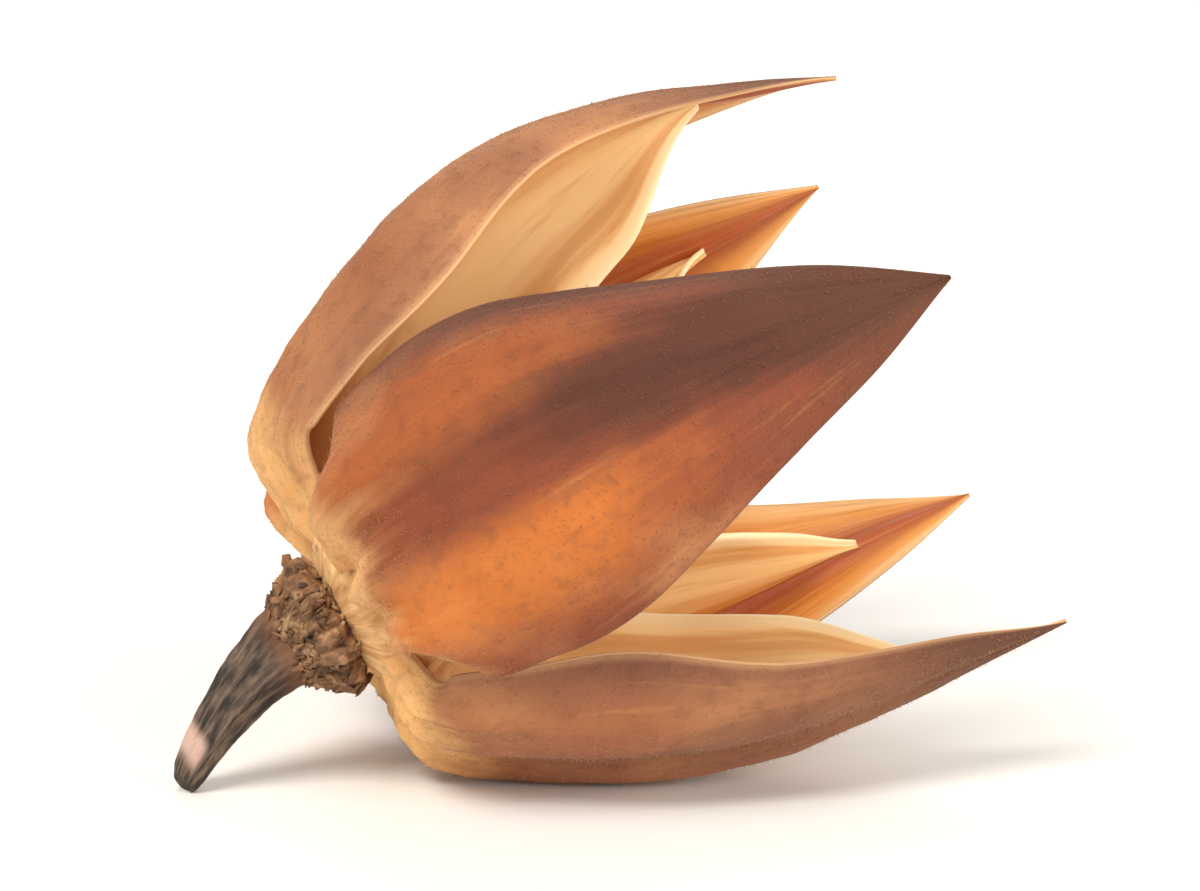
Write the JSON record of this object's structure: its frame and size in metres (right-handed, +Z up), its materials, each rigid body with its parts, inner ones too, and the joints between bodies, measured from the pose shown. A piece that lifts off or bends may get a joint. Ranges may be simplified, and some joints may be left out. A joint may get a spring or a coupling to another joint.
{
  "type": "hibiscus pod",
  "caption": "Dried hibiscus seed pod, split open by its seams, lying on its side with a short woody stem.",
  "frame": {"origin": "middle of the pod's box, on the surface that it lies on", "axes": "+X along the pod from the stem to the open mouth, as seen from above; +Z up"},
  "size_m": [0.0284, 0.0206, 0.0213],
  "materials": {
    "dried_valve": "matt dried fruit wall, faintly fibrous outside and satin inside",
    "torn_calyx": "matt crumbling dry tissue",
    "woody_stem": "matt bark with fine lengthwise wrinkles"
  },
  "bodies": {
    "root": {"capsule": "dried_valve", "calyx_remains": "torn_calyx", "stem": "woody_stem"}
  },
  "joints": []
}
